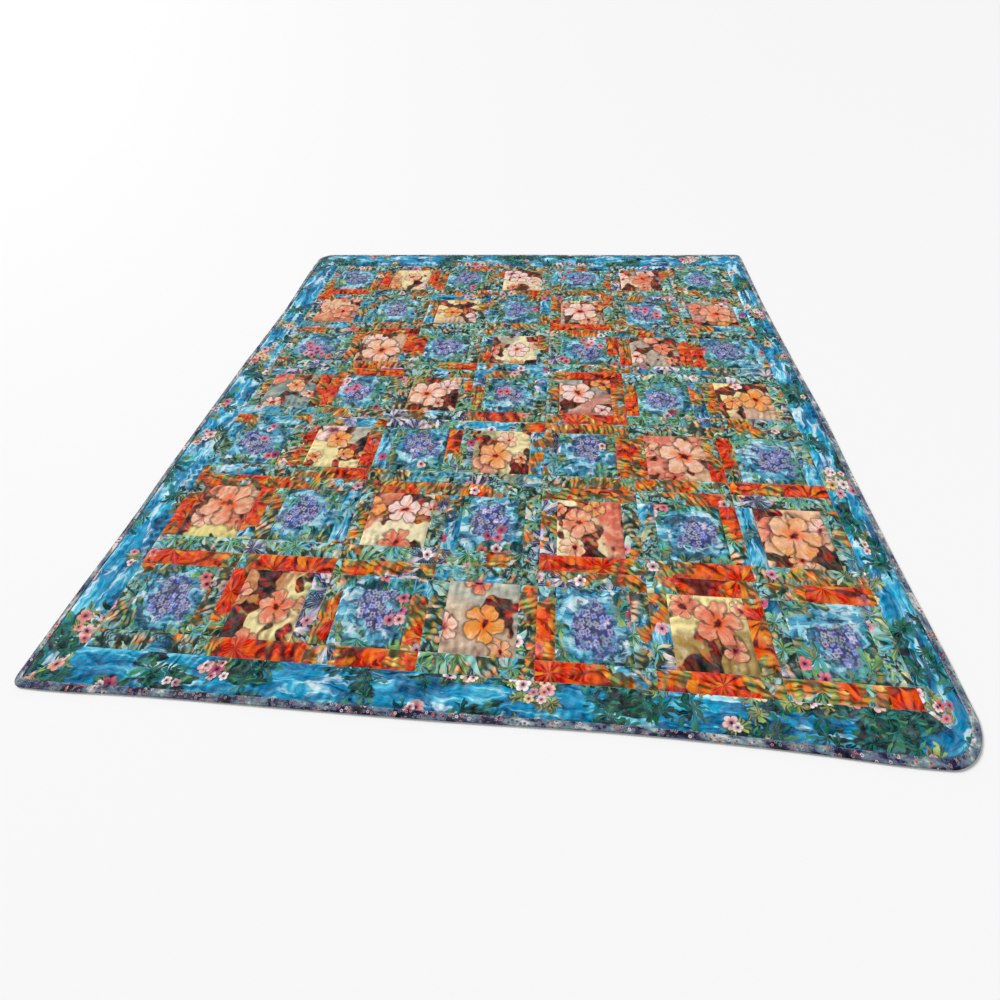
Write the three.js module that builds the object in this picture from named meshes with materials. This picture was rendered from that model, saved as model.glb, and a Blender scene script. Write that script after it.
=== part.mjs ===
// A patchwork quilt lying face up: framed squares, a mitred border and a binding folded over the rim.
// Millimetres, +Z up. The origin is the middle of the underside, and the front edge faces -Y.
import * as THREE from "three";

// Patchwork, in sewn sizes
const BLOCKS = 7; // blocks along each side
const SQUARE = 203; // side of the square in the middle of a block
const STRIP = 51; // width of the strips sewn round a square
const BORDER = 102; // mean width of the border that shows between the blocks and the binding
const BINDING = 19; // width of the binding on the face and on the back
const RIM_SHIFT = [-16, 15]; // how far the binding lies off the blocks' middle, so two borders are narrower

// Padded thickness above the surface that the quilt lies on
const SEAM_HEIGHT = 4.6; // along a seam, where the stitches draw the padding down
const SQUARE_LOFT = 5.8; // rise of a square's middle above its seams
const STRIP_LOFT = 3.6; // the same for a strip
const BORDER_LOFT = 4.4; // the same for the border
const SQUARE_RISE = 62; // distance from a seam within which a square reaches its full loft
const STRIP_RISE = 25.5; // the same for a strip
const BORDER_RISE = 44; // the same for the border
const MITRE_LOFT = 0.4; // share of the border's loft that is left along the seam of a mitred corner
const MITRE_RISE = 40; // distance from a mitre within which the border reaches its full loft

// Rim of the border inside the folded binding
const RIM_BOTTOM = 1.5;
const RIM_TOP = 4.4;
const RIM_INSET = 3.6; // from the outer edge of the binding
const BINDING_STEP = 0.3; // width of the step where the border drops under the binding
const GAP = 0.36; // clearance between sewn pieces, a little less across a narrower border

// Slow unevenness of the padding as the quilt lies
const SWAY = 0.7; // height of the longer waves
const SWAY_LENGTH = 310;
const SWAY_SLANT = 0.6; // how much the longer waves turn towards the front edge
const RIPPLE = 0.5; // height of the shorter waves
const RIPPLE_LENGTH = 170;
const RIPPLE_SLANT = -0.4; // how much the shorter waves turn towards the sides
const SWAY_FADE = 60; // distance from the binding over which the waves die out

// Lines that divide the faces, beside the seams and the middle of each piece
const SQUARE_LINE = 30; // from a square's seams
const BORDER_LINE = 16; // from the seams along a border
const RESTING_SHARE = 0.8; // share of the centre's width that is one plain resting face

// Steps along a border: close together from each corner, then by half blocks
const CORNER_STEPS = [0, 14, 30, 52, 80, 112];

// Places across a border's face, from the seam with the blocks to the binding
const BORDER_LINES = [GAP, BORDER_LINE, BORDER / 2, BORDER - BORDER_LINE, BORDER - GAP - BINDING_STEP];

const BLOCK = SQUARE + 2 * STRIP;
const FIELD = BLOCKS * BLOCK;
const HALF_FIELD = FIELD / 2;
const HALF = HALF_FIELD + BORDER + BINDING;

// The sides in order round the quilt, seen from above, with the radius of the corner at the end of each
const SIDES = [
  { name: "front", along: [1, 0], out: [0, -1], cornerRadius: 110 },
  { name: "right", along: [0, 1], out: [1, 0], cornerRadius: 30 },
  { name: "back", along: [-1, 0], out: [0, 1], cornerRadius: 70 },
  { name: "left", along: [0, -1], out: [-1, 0], cornerRadius: 28 },
];

// Where an edge bows out or, with a negative size, in. The place is along X or Y from the quilt's middle.
const EDGE_BOWS = [
  { side: "front", place: -1070, size: 6, reach: 170 },
  { side: "front", place: 400, size: -8, reach: 340 },
  { side: "front", place: 1040, size: 10, reach: 190 },
  { side: "right", place: -980, size: 4, reach: 150 },
  { side: "right", place: -110, size: 7, reach: 190 },
  { side: "right", place: 660, size: -8, reach: 340 },
  { side: "left", place: -690, size: -5, reach: 190 },
  { side: "left", place: 540, size: -9, reach: 260 },
  { side: "left", place: 1040, size: 9, reach: 220 },
  { side: "back", place: 700, size: -7, reach: 500 },
];

// Section of the binding from the face round the rim to the back, as distances in from the outer edge
// and heights: the outer surface and the inner surface of the folded cloth
const BINDING_SECTION = [
  { outerInset: BINDING, outerHeight: 6.0, innerInset: BINDING, innerHeight: 4.8 },
  { outerInset: 3.2, outerHeight: 6.2, innerInset: 3.3, innerHeight: 4.9 },
  { outerInset: 0.9, outerHeight: 5.2, innerInset: 1.9, innerHeight: 4.3 },
  { outerInset: 0.0, outerHeight: 3.1, innerInset: 1.4, innerHeight: 3.1 },
  { outerInset: 0.9, outerHeight: 1.0, innerInset: 1.9, innerHeight: 1.9 },
  { outerInset: 3.2, outerHeight: 0.0, innerInset: 3.3, innerHeight: 1.2 },
  { outerInset: BINDING, outerHeight: 0.0, innerInset: BINDING, innerHeight: 1.2 },
];

const centreCloth = new THREE.MeshStandardMaterial({ color: 0x5d8f8c, roughness: 0.9, metalness: 0 });
const borderCloth = new THREE.MeshStandardMaterial({ color: 0x1c86b6, roughness: 0.9, metalness: 0 });
const bindingCloth = new THREE.MeshStandardMaterial({ color: 0x77668a, roughness: 0.9, metalness: 0 });

// Rounds the square outline at its corners, keeping every distance from the outer edge
function roundCorner(x, y) {
  const corner = SIDES.find((side, i) => {
    const next = SIDES[(i + 1) % SIDES.length];
    return x * (side.out[0] + next.out[0]) >= 0 && y * (side.out[1] + next.out[1]) >= 0;
  });
  const middle = HALF - corner.cornerRadius;
  const pastX = Math.abs(x) - middle;
  const pastY = Math.abs(y) - middle;
  if (pastX <= 0 || pastY <= 0) {
    return [x, y];
  }
  const pull = Math.max(pastX, pastY) / Math.hypot(pastX, pastY);
  return [Math.sign(x) * (middle + pastX * pull), Math.sign(y) * (middle + pastY * pull)];
}

// Moves a point of the true square pattern to where it lies in the uneven quilt
function settle(x, y) {
  const fromBlocks = Math.max(Math.abs(x), Math.abs(y)) - HALF_FIELD;
  const acrossBorder = Math.min(1, Math.max(0, fromBlocks / BORDER));
  let [px, py] = roundCorner(x, y);
  px += RIM_SHIFT[0] * acrossBorder;
  py += RIM_SHIFT[1] * acrossBorder;
  for (const bow of EDGE_BOWS) {
    const side = SIDES.find((one) => one.name === bow.side);
    const pastBlocks = Math.max(0, x * side.out[0] + y * side.out[1] - HALF_FIELD);
    const depth = pastBlocks / (BORDER + BINDING);
    const place = side.out[0] === 0 ? x : y;
    const move = bow.size * depth ** 2 * Math.exp(-(((place - bow.place) / bow.reach) ** 2));
    px += side.out[0] * move;
    py += side.out[1] * move;
  }
  return [px, py];
}

// Slow waves of the padding, none at the binding
function sway(x, y) {
  const fromBinding = HALF_FIELD + BORDER - Math.max(Math.abs(x), Math.abs(y));
  const fade = Math.min(1, Math.max(0, fromBinding / SWAY_FADE));
  const long = SWAY * Math.sin((x + SWAY_SLANT * y) / SWAY_LENGTH) * Math.cos(y / SWAY_LENGTH);
  const short = RIPPLE * Math.sin((y + RIPPLE_SLANT * x) / RIPPLE_LENGTH + Math.cos(x / SWAY_LENGTH));
  return fade * (long + short);
}

// Share of the full loft at a distance from the nearest seam
function puff(distance, rise) {
  const open = Math.min(1, Math.max(0, distance / rise));
  return 1 - (1 - open) ** 2;
}

// Height of a block's face at a place measured from the block's corner
function blockHeight(a, b) {
  const fromSide = Math.min(a, BLOCK - a);
  const fromEnd = Math.min(b, BLOCK - b);
  if (fromEnd < STRIP) {
    const seam = Math.min(fromEnd, STRIP - fromEnd, fromSide);
    return SEAM_HEIGHT + STRIP_LOFT * puff(seam, STRIP_RISE);
  }
  if (fromSide < STRIP) {
    const seam = Math.min(fromSide, STRIP - fromSide, fromEnd - STRIP);
    return SEAM_HEIGHT + STRIP_LOFT * puff(seam, STRIP_RISE);
  }
  return SEAM_HEIGHT + SQUARE_LOFT * puff(Math.min(fromSide, fromEnd) - STRIP, SQUARE_RISE);
}

function borderHeight(fromBlocks, fromMitre) {
  const across = puff(Math.min(fromBlocks, BORDER - fromBlocks), BORDER_RISE);
  const mitre = MITRE_LOFT + (1 - MITRE_LOFT) * puff(fromMitre, MITRE_RISE);
  return SEAM_HEIGHT + BORDER_LOFT * across * mitre;
}

// A closed body of points and of faces with three or four corners, each seen counterclockwise from outside
function closedMesh(name, points, faces, material) {
  const geometry = new THREE.BufferGeometry().setFromPoints(points);
  const triangles = faces.flatMap(([a, b, c, d]) => (d === undefined ? [a, b, c] : [a, b, c, a, c, d]));
  geometry.setIndex(triangles);
  geometry.computeVertexNormals();
  const mesh = new THREE.Mesh(geometry, material);
  mesh.name = name;
  return mesh;
}

// Lines across the blocks in one direction, each with its place in the quilt and in its block
function blockLines() {
  const offsets = [0, STRIP / 2, STRIP, STRIP + SQUARE_LINE, BLOCK / 2];
  const mirrored = [BLOCK - STRIP - SQUARE_LINE, BLOCK - STRIP, BLOCK - STRIP / 2];
  const lines = [];
  for (let block = 0; block < BLOCKS; block += 1) {
    for (const offset of [...offsets, ...mirrored]) {
      lines.push({ place: block * BLOCK - HALF_FIELD + offset, offset });
    }
  }
  lines.push({ place: HALF_FIELD, offset: 0 });
  return lines;
}

// The blocks sewn together: a padded face with a raised square and raised strips in every block
function piecedCentre() {
  const lines = blockLines();
  const last = lines.length - 1;
  const at = (i, j) => i * lines.length + j;
  const points = [];
  const faces = [];
  for (const across of lines) {
    for (const along of lines) {
      const [x, y] = settle(across.place, along.place);
      const height = blockHeight(across.offset, along.offset) + sway(across.place, along.place);
      points.push(new THREE.Vector3(x, y, height));
    }
  }
  for (let i = 0; i < last; i += 1) {
    for (let j = 0; j < last; j += 1) {
      faces.push([at(i, j), at(i + 1, j), at(i + 1, j + 1), at(i, j + 1)]);
    }
  }
  const rim = [];
  for (let k = 0; k < last; k += 1) rim.push(at(k, 0));
  for (let k = 0; k < last; k += 1) rim.push(at(last, k));
  for (let k = last; k > 0; k -= 1) rim.push(at(k, last));
  for (let k = last; k > 0; k -= 1) rim.push(at(0, k));
  const foot = rim.map((top) => points.push(new THREE.Vector3(points[top].x, points[top].y, 0)) - 1);
  const resting = SIDES.map((side, i) => {
    const previous = SIDES.at(i - 1);
    const x = RESTING_SHARE * HALF_FIELD * (side.out[0] + previous.out[0]);
    const y = RESTING_SHARE * HALF_FIELD * (side.out[1] + previous.out[1]);
    return points.push(new THREE.Vector3(x, y, 0)) - 1;
  });
  for (let k = 0; k < rim.length; k += 1) {
    const next = (k + 1) % rim.length;
    const side = Math.floor(k / last);
    const nearEnd = k % last >= last / 2;
    const corner = resting[(side + (nearEnd ? 1 : 0)) % SIDES.length];
    faces.push([foot[k], foot[next], rim[next], rim[k]]);
    faces.push([foot[next], foot[k], corner]);
    if (k % last === last / 2) {
      faces.push([foot[k], resting[side], resting[(side + 1) % SIDES.length]]);
    }
  }
  faces.push([resting[0], resting[3], resting[2], resting[1]]);
  return closedMesh("pieced_centre", points, faces, centreCloth);
}

// Stations along a side from corner to corner, as shares of the half width
function sideStations() {
  const start = CORNER_STEPS.map((step) => -(HALF - step));
  const middle = [];
  for (let place = BLOCK / 2 - HALF_FIELD; place < HALF_FIELD; place += BLOCK / 2) {
    middle.push(place);
  }
  const end = start.map((place) => -place).reverse();
  return [...start, ...middle, ...end].map((place) => place / HALF);
}

// A point beside a side at a distance out from the blocks, and clear of the neighbour across the mitre
function besideBlocks(side, share, fromBlocks) {
  const out = HALF_FIELD + fromBlocks;
  const along = share * (out - GAP);
  return [side.along[0] * along + side.out[0] * out, side.along[1] * along + side.out[1] * out];
}

// A strip between two surfaces, given as rows of paired points from the face and the back
function stripMesh(name, rows, material) {
  const pairs = rows[0].face.length;
  const points = rows.flatMap((row) => [...row.face, ...row.back]);
  const face = (i, j) => i * 2 * pairs + j;
  const back = (i, j) => face(i, j) + pairs;
  const last = rows.length - 1;
  const edge = pairs - 1;
  const faces = [];
  for (let i = 0; i < last; i += 1) {
    for (let j = 0; j < edge; j += 1) {
      faces.push([face(i, j), face(i, j + 1), face(i + 1, j + 1), face(i + 1, j)]);
      faces.push([back(i, j), back(i + 1, j), back(i + 1, j + 1), back(i, j + 1)]);
    }
    faces.push([face(i, 0), face(i + 1, 0), back(i + 1, 0), back(i, 0)]);
    faces.push([face(i, edge), back(i, edge), back(i + 1, edge), face(i + 1, edge)]);
  }
  for (let j = 0; j < edge; j += 1) {
    faces.push([face(0, j), back(0, j), back(0, j + 1), face(0, j + 1)]);
    faces.push([face(last, j), face(last, j + 1), back(last, j + 1), back(last, j)]);
  }
  return closedMesh(name, points, faces, material);
}

// One padded border strip, thinner at its outer rim where the binding wraps it
function borderStrip(side) {
  const rimStart = BORDER - GAP;
  const rimEnd = BORDER + BINDING - RIM_INSET;
  const rows = sideStations().map((share) => {
    const face = [];
    const back = [];
    const add = (fromBlocks, top, bottom) => {
      const [x, y] = settle(...besideBlocks(side, share, fromBlocks));
      face.push(new THREE.Vector3(x, y, top));
      back.push(new THREE.Vector3(x, y, bottom));
    };
    for (const fromBlocks of BORDER_LINES) {
      const fromMitre = ((1 - Math.abs(share)) * (HALF_FIELD + fromBlocks)) / Math.SQRT2;
      const waves = sway(...besideBlocks(side, share, fromBlocks));
      add(fromBlocks, borderHeight(fromBlocks, fromMitre) + waves, 0);
    }
    add(rimStart, RIM_TOP, RIM_BOTTOM);
    add(rimEnd, RIM_TOP, RIM_BOTTOM);
    return { face, back };
  });
  return stripMesh(`border_${side.name}`, rows, borderCloth);
}

// One length of binding, folded round the rim from the face to the back
function bindingStrip(side) {
  const outer = BORDER + BINDING;
  const rows = sideStations().map((share) => {
    const corner = (inset, height) => {
      const [x, y] = settle(...besideBlocks(side, share, outer - inset));
      return new THREE.Vector3(x, y, height);
    };
    return {
      face: BINDING_SECTION.map((row) => corner(row.outerInset, row.outerHeight)),
      back: BINDING_SECTION.map((row) => corner(row.innerInset, row.innerHeight)),
    };
  });
  return stripMesh(`binding_${side.name}`, rows, bindingCloth);
}

const quilt = new THREE.Group();
quilt.add(piecedCentre());
for (const side of SIDES) {
  quilt.add(borderStrip(side));
  quilt.add(bindingStrip(side));
}

// The middle of the whole outline is the origin, and the blocks lie a little off it
const middle = new THREE.Box3().setFromObject(quilt).getCenter(new THREE.Vector3());
quilt.position.set(-middle.x, -middle.y, 0);

export default quilt;
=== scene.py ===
import math
from functools import partial, partialmethod

import bpy
import numpy as np
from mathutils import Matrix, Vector


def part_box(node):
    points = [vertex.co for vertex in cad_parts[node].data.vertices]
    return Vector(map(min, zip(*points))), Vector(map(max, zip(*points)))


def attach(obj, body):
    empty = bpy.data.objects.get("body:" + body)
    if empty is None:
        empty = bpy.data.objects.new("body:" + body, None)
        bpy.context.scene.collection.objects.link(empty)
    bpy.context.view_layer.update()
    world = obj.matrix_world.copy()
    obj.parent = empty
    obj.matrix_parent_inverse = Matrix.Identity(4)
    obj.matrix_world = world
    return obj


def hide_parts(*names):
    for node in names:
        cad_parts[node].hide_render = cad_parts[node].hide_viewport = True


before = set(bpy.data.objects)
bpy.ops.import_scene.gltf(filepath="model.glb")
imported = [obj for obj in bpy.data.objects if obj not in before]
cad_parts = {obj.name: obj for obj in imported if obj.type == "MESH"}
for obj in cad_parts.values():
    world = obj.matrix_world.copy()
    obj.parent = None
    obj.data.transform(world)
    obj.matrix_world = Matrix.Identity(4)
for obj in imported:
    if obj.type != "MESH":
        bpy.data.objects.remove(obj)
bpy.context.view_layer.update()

scene = bpy.context.scene
scene.view_settings.view_transform = "Standard"  # keeps the dyed cottons as bright as they are
dice = np.random.default_rng(41)  # draws how each patch is cut and gathered


def addObject(name, data):
    made = bpy.data.objects.new(name, data)
    scene.collection.objects.link(made)
    return made


# sizes in metres that the whole quilt shares
quilt = {
    "blocks": 7,  # to a side
    "strip": 0.051,
    "border": 0.102,  # on average
    "binding": 0.019,
    "rimShift": (-0.016, 0.015),  # of the binding from the middle of the blocks
    "seam": 0.0046,  # height of the sewn-down seams over the floor
    "seamGap": 0.00002,  # each patch stops this short of its seam
}
blocks, strip, seam = quilt["blocks"], quilt["strip"], quilt["seam"]
border, binding = quilt["border"], quilt["binding"]
centreLow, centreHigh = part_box("pieced_centre")
patternMiddle = np.array((centreLow + centreHigh) / 2) * (1, 1, 0)
block = (centreHigh.x - centreLow.x) / blocks
square = block - 2 * strip
halfField = blocks * block / 2
halfQuilt = halfField + border + binding
print("quilt", blocks, "x", blocks, "blocks of", round(block, 4), "m")

# each side runs along one way and faces out; corner rounds the quilt at the end of the run
sides = {
    "front": {"along": (1, 0), "out": (0, -1), "corner": 0.11},
    "right": {"along": (0, 1), "out": (1, 0), "corner": 0.03},
    "back": {"along": (-1, 0), "out": (0, 1), "corner": 0.07},
    "left": {"along": (0, -1), "out": (-1, 0), "corner": 0.028},
}
# gentle waves of the rim: place along x or y, size outwards, reach to each side
edgeBows = {
    "front": [(-1.07, 0.006, 0.17), (0.4, -0.008, 0.34), (1.04, 0.01, 0.19)],
    "right": [(-0.98, 0.004, 0.15), (-0.11, 0.007, 0.19), (0.66, -0.008, 0.34)],
    "left": [(-0.69, -0.005, 0.19), (0.54, -0.009, 0.26), (1.04, 0.009, 0.22)],
    "back": [(0.7, -0.007, 0.5)],
}


def onSide(side, along, out):
    # x and y of places along a side, so far out from the middle of the blocks
    edge = sides[side]
    return [along * edge["along"][k] + out * edge["out"][k] for k in range(2)]


def sideGrid(side, outs, shape):
    # a grid between the two mitres of a side, with a line for each distance out
    share, out = np.meshgrid(np.linspace(-1, 1, shape["steps"] + 1), outs, indexing="ij")
    along = share * (out - shape["endGap"])
    return share, along, *onSide(side, along, out)


def settle(x, y):
    # rounds the corners, then shifts and waves the border and binding with the rim
    bentX, bentY = x.copy(), y.copy()
    for edge in sides.values():
        signX, signY = (edge["along"][k] + edge["out"][k] for k in range(2))
        inner = halfQuilt - edge["corner"]
        pastX, pastY = signX * x - inner, signY * y - inner
        inside = (pastX > 0) & (pastY > 0)
        pull = np.maximum(pastX, pastY) / np.maximum(np.hypot(pastX, pastY), 1e-9)
        bentX = np.where(inside, signX * (inner + pastX * pull), bentX)
        bentY = np.where(inside, signY * (inner + pastY * pull), bentY)
    across = np.clip((np.maximum(np.abs(x), np.abs(y)) - halfField) / border, 0, 1)
    moveX, moveY = (shift * across for shift in quilt["rimShift"])
    for side, bows in edgeBows.items():
        outX, outY = sides[side]["out"]
        depth = np.maximum(0, bentX * outX + bentY * outY - halfField) / (border + binding)
        place = bentX if outX == 0 else bentY
        for middle, size, reach in bows:
            swell = size * depth**2 * np.exp(-(((place - middle) / reach) ** 2))
            moveX, moveY = moveX + outX * swell, moveY + outY * swell
    return bentX + moveX, bentY + moveY


noiseCells = 64
noiseTable = np.random.default_rng(7).random((noiseCells, noiseCells))


def softNoise(x, y, size, shift=0.0):
    # smooth chance heights from -1 to 1 that change over about one size
    gridX, gridY = x / size + shift, y / size + 0.37 * shift
    cellX, cellY = np.floor(gridX).astype(int), np.floor(gridY).astype(int)
    partX, partY = gridX - cellX, gridY - cellY
    partX, partY = partX * partX * (3 - 2 * partX), partY * partY * (3 - 2 * partY)

    def at(stepX, stepY):
        return noiseTable[(cellX + stepX) % noiseCells, (cellY + stepY) % noiseCells]

    near = at(0, 0) + (at(1, 0) - at(0, 0)) * partX
    far = at(0, 1) + (at(1, 1) - at(0, 1)) * partX
    return 2 * (near + (far - near) * partY) - 1


edgeRoll = 0.013  # the padding takes half its height this close to a seam


def puff(distance, rise):
    # the padding swells quickly from a seam, then slowly until it is full at rise
    quick = 1 - (1 - np.clip(distance / edgeRoll, 0, 1)) ** 2
    slow = 1 - (1 - np.clip(distance / rise, 0, 1)) ** 2
    return (quick + slow) / 2


lie = {"sway": 0.0007, "swayLength": 0.31, "ripple": 0.0005, "rippleLength": 0.17, "fade": 0.06}


def sway(x, y):
    # the slow unevenness of a quilt laid out by hand, gone at the rim
    reach = halfField + border - np.maximum(np.abs(x), np.abs(y))
    slow = lie["sway"] * np.sin((x + 0.6 * y) / lie["swayLength"]) * np.cos(y / lie["swayLength"])
    quick = np.sin((y - 0.4 * x) / lie["rippleLength"] + np.cos(x / lie["swayLength"]))
    return np.clip(reach / lie["fade"], 0, 1) * (slow + lie["ripple"] * quick)


pucker = {
    "height": 0.003, "reach": 0.0115, "spacing": 0.024,
    "bunch": 0.09,  # gathers crowd and slacken over this length
    "stray": 2.4, "strayLength": 0.05,  # how unevenly they follow each other
    "crumple": 0.002, "crumpleSize": 0.031, "fineShare": 0.6, "fineSize": 0.45,
    "calm": 0.014,  # the relief is whole this far from a seam
}


def gather(distance, place, phase):
    # small uneven gathers that a seam draws into the cloth beside it
    strength = distance / pucker["reach"] * np.exp(1 - distance / pucker["reach"])
    strength = strength * (0.5 + 0.6 * softNoise(place, 0 * place, pucker["bunch"], phase + 3))
    stray = pucker["stray"] * softNoise(place, distance * 0.4, pucker["strayLength"], phase)
    return strength * np.sin(place * math.tau / pucker["spacing"] + phase + stray)


def patchHeight(x, y, rect, padding, phases):
    # height of one patch: its puffed middle, the gathers along its seams and soft crumples
    x0, x1, y0, y1 = rect
    nearX, nearY = np.minimum(x - x0, x1 - x), np.minimum(y - y0, y1 - y)
    body = puff(nearX, padding["rise"]) * puff(nearY, padding["rise"])
    gathers = (
        gather(x - x0, y, phases[0]) + gather(x1 - x, y, phases[1])
        + gather(y - y0, x, phases[2]) + gather(y1 - y, x, phases[3])
    )
    calm = puff(np.minimum(nearX, nearY), pucker["calm"])
    fineSize = pucker["crumpleSize"] * pucker["fineSize"]
    crumple = softNoise(x, y, pucker["crumpleSize"], phases[0])
    crumple = crumple + pucker["fineShare"] * softNoise(x, y, fineSize, phases[1])
    relief = pucker["height"] * gathers + pucker["crumple"] * crumple
    return seam + padding["loft"] * body + calm * relief + sway(x, y)


def spread(*parts):
    return np.stack(np.broadcast_arrays(*parts), axis=-1)


def ladder(one, other):
    # four-cornered faces between two rows of points
    return spread(one[:-1], one[1:], other[1:], other[:-1]).reshape(-1, 4)


def sheetShell(top, floors):
    # one closed sheet: the padded face, its walls and the underside
    n, m = top.shape[:2]
    face = np.arange(n * m).reshape(n, m)
    under = n * m + np.arange(2 * n).reshape(2, n)
    feet = np.stack([top[:, 0], top[:, -1]])
    feet[..., 2] = np.array(floors)[:, None]
    walls = np.concatenate([
        ladder(under[0], face[:, 0]),
        ladder(face[:, -1], under[1]),
        ladder(under[1], under[0]),
    ])
    ends = [
        np.concatenate([face[0], under[::-1, 0]]),
        np.concatenate([face[-1, ::-1], under[:, -1]]),
    ]
    points = np.concatenate([top.reshape(-1, 3), feet.reshape(-1, 3)])
    return {"points": points, "face": list(ladder(face[:, :-1], face[:, 1:])), "rest": list(walls) + ends}


def paintAll(values, top):
    # a value for every point of the face, repeated for the points below its two long edges
    full = np.broadcast_to(values, top.shape[:2] + (3,))
    return np.concatenate([full.reshape(-1, 3), full[:, 0], full[:, -1]])


def makeMesh(name, points, faces, slots, smooth, values, materials):
    # a mesh object straight from arrays; values are vectors that ride on its points
    mesh = bpy.data.meshes.new(name)
    mesh.from_pydata((points + patternMiddle).tolist(), [], [face.tolist() for face in faces])
    mesh.polygons.foreach_set("material_index", slots)
    mesh.polygons.foreach_set("use_smooth", smooth)
    for key, value in values.items():
        layer = mesh.attributes.new(key, "FLOAT_VECTOR", "POINT")
        layer.data.foreach_set("vector", np.ascontiguousarray(value, dtype=np.float32).ravel())
    for material in materials:
        mesh.materials.append(material)
    # a fold where a smooth face meets a flat wall stays crisp
    edgeOfCorner = np.empty(len(mesh.loops), dtype=np.int32)
    mesh.loops.foreach_get("edge_index", edgeOfCorner)
    cornerSmooth = np.repeat(smooth, [len(face) for face in faces])
    smoothSides = np.bincount(edgeOfCorner, cornerSmooth, len(mesh.edges))
    mesh.edges.foreach_set("use_edge_sharp", smoothSides == 1)
    return addObject(name, mesh)


def sewTogether(name, patches, materials):
    # joins patches into one piece: printed faces first, plain walls and undersides second
    points, faces, slots = [], [], []
    values = {key: [] for key in patches[0]["values"]}
    count = 0
    for patch in patches:
        shell = sheetShell(patch["top"], patch["floors"])
        for key, slot in (("face", 0), ("rest", 1)):
            faces += [face + count for face in shell[key]]
            slots += [slot] * len(shell[key])
        points.append(shell["points"])
        count += len(shell["points"])
        for key in values:
            values[key].append(paintAll(patch["values"][key], patch["top"]))
    values = {key: np.concatenate(value) for key, value in values.items()}
    slots = np.array(slots)
    return makeMesh(name, np.concatenate(points), faces, slots, slots == 0, values, materials)


# dyes by their sRGB numbers
dyes = {
    "night": (4, 48, 78), "deepBlue": (0, 88, 132), "ocean": (0, 126, 176), "azure": (22, 162, 206),
    "cyan": (116, 212, 232), "foam": (228, 246, 250), "deepTeal": (4, 66, 76), "teal": (10, 122, 132),
    "lagoon": (64, 174, 180), "deepGreen": (10, 58, 40), "green": (34, 116, 76), "leaf": (100, 160, 86),
    "lime": (182, 196, 100), "yellow": (240, 218, 116), "red": (214, 18, 2), "deepRed": (146, 6, 2),
    "orange": (246, 98, 0), "amber": (242, 152, 30), "gold": (216, 160, 52), "cream": (246, 232, 190),
    "peach": (242, 186, 146), "coral": (228, 112, 84), "maroon": (80, 10, 14), "brown": (88, 50, 30),
    "periwinkle": (124, 138, 206), "lilac": (178, 172, 216), "bluebell": (86, 128, 208),
    "indigo": (50, 62, 138), "violet": (104, 74, 154), "plum": (38, 30, 76), "blush": (248, 224, 222),
    "pink": (224, 128, 160), "magenta": (176, 40, 92), "khaki": (158, 140, 72), "slate": (114, 148, 150),
    "mauve": (112, 92, 116), "dusk": (92, 104, 130), "white": (246, 242, 236), "ink": (12, 16, 30),
}


def dye(name):
    parts = [value / 255 for value in dyes[name]]
    linear = [p / 12.92 if p <= 0.04045 else ((p + 0.055) / 1.055) ** 2.4 for p in parts]
    return (*linear, 1.0)


def addNode(tree, kind, sockets=None, **settings):
    # the outputs of a new node; each of its sockets is linked to another one or given a value
    made = tree.nodes.new(kind)
    for name, value in settings.items():
        setattr(made, name, value)
    for key, value in (sockets or {}).items():
        if isinstance(value, bpy.types.NodeSocket):
            tree.links.new(value, made.inputs[key])
        else:
            made.inputs[key].default_value = value
    return made.outputs


class Shade:
    # a socket that reckons and compares as a number does
    def __init__(self, finish, socket):
        self.finish, self.socket = finish, socket

    def calc(self, operation, *others):
        return self.finish.node("Math", [self, *others], operation=operation)

    __add__ = __radd__ = partialmethod(calc, "ADD")
    __sub__ = partialmethod(calc, "SUBTRACT")
    __mul__ = __rmul__ = partialmethod(calc, "MULTIPLY")
    __truediv__ = partialmethod(calc, "DIVIDE")
    __pow__ = partialmethod(calc, "POWER")
    __abs__ = partialmethod(calc, "ABSOLUTE")
    __gt__ = partialmethod(calc, "GREATER_THAN")
    __lt__ = partialmethod(calc, "LESS_THAN")

    def __rsub__(self, other):
        return self.finish.node("Math", [other, self], operation="SUBTRACT")

    def rise(self, low, high):
        # 0 below low, 1 above high, smooth between
        return self.finish.node("MapRange", [self, low, high], interpolation_type="SMOOTHSTEP")

    def other(self, name):
        return Shade(self.finish, self.socket.node.outputs[name])


# the cotton itself: thread in metres, heights in millimetres, crinkle and fade to the metre
clothLook = {
    "thread": 0.0007, "threadHeight": 0.05, "crinkle": 95, "crinkleHeight": 1.2,
    "fade": 30, "fadeDepth": 0.07, "roughness": 0.82,
    "darkTones": (0.08, 0.26), "lightTones": (0.24, 0.55),  # what counts as dark and light in a print
}
cotton = {"Specular IOR Level": 0.07, "Sheen Weight": 0.02, "Sheen Roughness": 0.45}


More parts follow.
